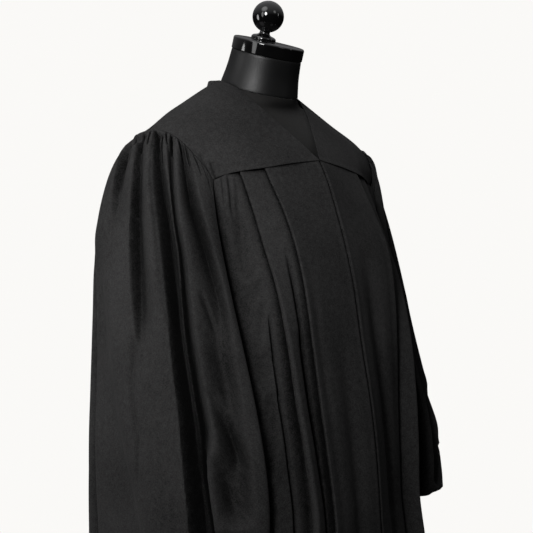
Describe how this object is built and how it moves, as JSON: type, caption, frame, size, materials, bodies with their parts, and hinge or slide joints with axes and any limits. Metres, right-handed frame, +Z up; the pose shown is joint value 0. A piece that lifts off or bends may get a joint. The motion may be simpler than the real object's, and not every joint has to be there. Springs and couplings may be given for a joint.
{
  "type": "graduation gown on a limbless dress form",
  "caption": "Black graduation gown with a yoke, pleated front, concealed front zip and open bell sleeves, on a limbless dress form with a round cap, a ball finial and a pole stand.",
  "frame": {"origin": "middle of the stand's underside, on the floor", "axes": "+Z up, the front of the gown towards -Y, the wearer's right towards -X"},
  "size_m": [0.6054, 0.5818, 1.5701],
  "materials": {
    "gown_cloth": "matte woven black polyester",
    "zip_tape": "plain black tape",
    "form_jersey": "matte black jersey",
    "form_vinyl": "satin black vinyl",
    "form_gloss": "gloss black lacquer",
    "stand_metal": "satin black powder coat"
  },
  "bodies": {
    "root": {"yoke_front_right": "gown_cloth", "yoke_front_left": "gown_cloth", "yoke_back": "gown_cloth", "front_right": "gown_cloth", "front_left": "gown_cloth", "back": "gown_cloth", "sleeve_right": "gown_cloth", "sleeve_left": "gown_cloth", "front_zip": "zip_tape", "form_torso": "form_jersey", "form_neck": "form_vinyl", "form_cap": "form_gloss", "form_finial": "form_gloss", "stand_base": "stand_metal", "stand_pole": "stand_metal"}
  },
  "joints": []
}
